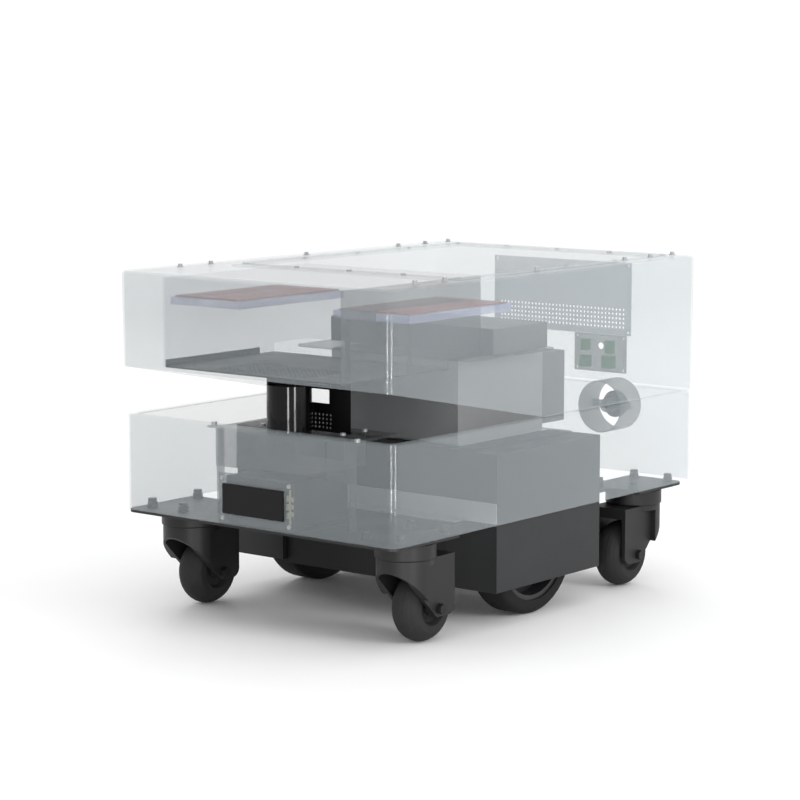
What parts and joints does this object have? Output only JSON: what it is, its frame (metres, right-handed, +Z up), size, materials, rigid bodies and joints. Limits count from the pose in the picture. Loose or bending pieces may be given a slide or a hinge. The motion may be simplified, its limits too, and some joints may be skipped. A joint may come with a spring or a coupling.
{
  "type": "autonomous mobile robot platform",
  "caption": "Low transport robot with see-through covers over its electronics, sprung side drive wheels, a lidar slot and hooded corner casters.",
  "frame": {"origin": "on the floor under the middle of the body", "axes": "+Z up; -Y is the front with the lidar slot; +X is the robot's left when it drives towards -Y"},
  "size_m": [0.505, 0.75, 0.505],
  "materials": {
    "clear_cover": "clear",
    "smoked_panel": "clear",
    "dark_panel": "satin",
    "blue_acrylic": "clear",
    "dark_steel": "satin",
    "housing_grey": "satin",
    "black_gloss": "gloss",
    "satin_black": "satin",
    "sheet_grey": "satin",
    "bright_sheet": "satin",
    "panel_grey": "satin",
    "case_grey": "satin",
    "case_dark": "satin",
    "light_case": "satin",
    "motor_steel": "satin",
    "ground_steel": "satin",
    "bright_screws": "satin",
    "black_bolts": "satin",
    "red_board": "matte",
    "terminal_green": "matte",
    "terminal_cream": "matte",
    "tube_grey": "satin",
    "tyre_rubber": "matte",
    "caster_rubber": "matte"
  },
  "bodies": {
    "chassis": {"base_plate": "dark_steel", "lower_cover": "clear_cover", "upper_cover": "clear_cover", "top_lid": "clear_cover", "roof_screws": "bright_screws", "caster_bolts": "black_bolts", "sensor_window": "black_gloss", "sensor_bracket": "sheet_grey", "sensor_case": "case_dark", "sensor_terminals": "terminal_cream", "lidar_deck": "sheet_grey", "front_screws": "bright_screws", "lidar_housing": "black_gloss", "bay_side_wall": "dark_panel", "recess_back_panel": "satin_black", "control_bay": "smoked_panel", "bay_floor": "satin_black", "board_carriers": "blue_acrylic", "circuit_boards": "red_board", "standoffs": "black_bolts", "electronics_shelf": "sheet_grey", "computer_case": "case_grey", "middle_shelf": "sheet_grey", "battery_pack": "case_dark", "power_converter": "light_case", "drive_controller": "case_grey", "battery_stop": "bright_sheet", "motor_pan": "dark_steel", "rear_vent_panel": "panel_grey", "connector_panel": "tube_grey", "terminal_blocks": "terminal_green", "stop_button_cup": "tube_grey", "guide_rods": "ground_steel", "caster_mounts": "dark_steel", "left_wheel_housing": "housing_grey", "right_wheel_housing": "housing_grey"},
    "lidar_spinner": {"lidar_rotor": "satin_black"},
    "stop_plunger": {"stop_button": "satin_black"},
    "left_drive_unit": {"left_wheel_carriage": "sheet_grey", "left_suspension_springs": "ground_steel", "left_gearmotor": "motor_steel"},
    "left_wheel": {"left_drive_wheel": "motor_steel", "left_drive_tyre": "tyre_rubber"},
    "right_drive_unit": {"right_wheel_carriage": "sheet_grey", "right_suspension_springs": "ground_steel", "right_gearmotor": "motor_steel"},
    "right_wheel": {"right_drive_wheel": "motor_steel", "right_drive_tyre": "tyre_rubber"},
    "front_left_fork": {"front_left_caster_hood": "dark_steel", "front_left_caster_axle": "black_bolts"},
    "front_left_roller": {"front_left_caster_wheel": "caster_rubber"},
    "front_right_fork": {"front_right_caster_hood": "dark_steel", "front_right_caster_axle": "black_bolts"},
    "front_right_roller": {"front_right_caster_wheel": "caster_rubber"},
    "rear_left_fork": {"rear_left_caster_hood": "dark_steel", "rear_left_caster_axle": "black_bolts"},
    "rear_left_roller": {"rear_left_caster_wheel": "caster_rubber"},
    "rear_right_fork": {"rear_right_caster_hood": "dark_steel", "rear_right_caster_axle": "black_bolts"},
    "rear_right_roller": {"rear_right_caster_wheel": "caster_rubber"}
  },
  "joints": [
    {"name": "lidar_spin", "type": "hinge", "parent": "chassis", "child": "lidar_spinner", "pos_m": [0, -0.29, 0.292], "axis": [0, 0, 1], "continuous": true},
    {"name": "stop_press", "type": "slide", "parent": "chassis", "child": "stop_plunger", "axis": [0, -1, 0], "range_m": [0, 0.005], "stiffness_N_per_m": 900},
    {"name": "left_suspension", "type": "slide", "parent": "chassis", "child": "left_drive_unit", "axis": [0, 0, 1], "range_m": [-0.012, 0.008], "stiffness_N_per_m": 12000, "springref_m": -0.012, "deforming": ["left_suspension_springs"]},
    {"name": "left_wheel_spin", "type": "hinge", "parent": "left_drive_unit", "child": "left_wheel", "pos_m": [-0.197, -0.004, 0.1], "axis": [1, 0, 0], "continuous": true},
    {"name": "right_suspension", "type": "slide", "parent": "chassis", "child": "right_drive_unit", "axis": [0, 0, 1], "range_m": [-0.012, 0.008], "stiffness_N_per_m": 12000, "springref_m": -0.012, "deforming": ["right_suspension_springs"]},
    {"name": "right_wheel_spin", "type": "hinge", "parent": "right_drive_unit", "child": "right_wheel", "pos_m": [0.197, -0.004, 0.1], "axis": [1, 0, 0], "continuous": true},
    {"name": "front_left_swivel", "type": "hinge", "parent": "chassis", "child": "front_left_fork", "pos_m": [-0.202, -0.28, 0.124], "axis": [0, 0, 1], "continuous": true},
    {"name": "front_left_roll", "type": "hinge", "parent": "front_left_fork", "child": "front_left_roller", "pos_m": [-0.202, -0.246, 0.05], "axis": [1, 0, 0], "continuous": true},
    {"name": "front_right_swivel", "type": "hinge", "parent": "chassis", "child": "front_right_fork", "pos_m": [0.202, -0.28, 0.124], "axis": [0, 0, 1], "continuous": true},
    {"name": "front_right_roll", "type": "hinge", "parent": "front_right_fork", "child": "front_right_roller", "pos_m": [0.202, -0.246, 0.05], "axis": [1, 0, 0], "continuous": true},
    {"name": "rear_left_swivel", "type": "hinge", "parent": "chassis", "child": "rear_left_fork", "pos_m": [-0.202, 0.28, 0.124], "axis": [0, 0, 1], "continuous": true},
    {"name": "rear_left_roll", "type": "hinge", "parent": "rear_left_fork", "child": "rear_left_roller", "pos_m": [-0.202, 0.246, 0.05], "axis": [1, 0, 0], "continuous": true},
    {"name": "rear_right_swivel", "type": "hinge", "parent": "chassis", "child": "rear_right_fork", "pos_m": [0.202, 0.28, 0.124], "axis": [0, 0, 1], "continuous": true},
    {"name": "rear_right_roll", "type": "hinge", "parent": "rear_right_fork", "child": "rear_right_roller", "pos_m": [0.202, 0.246, 0.05], "axis": [1, 0, 0], "continuous": true}
  ]
}
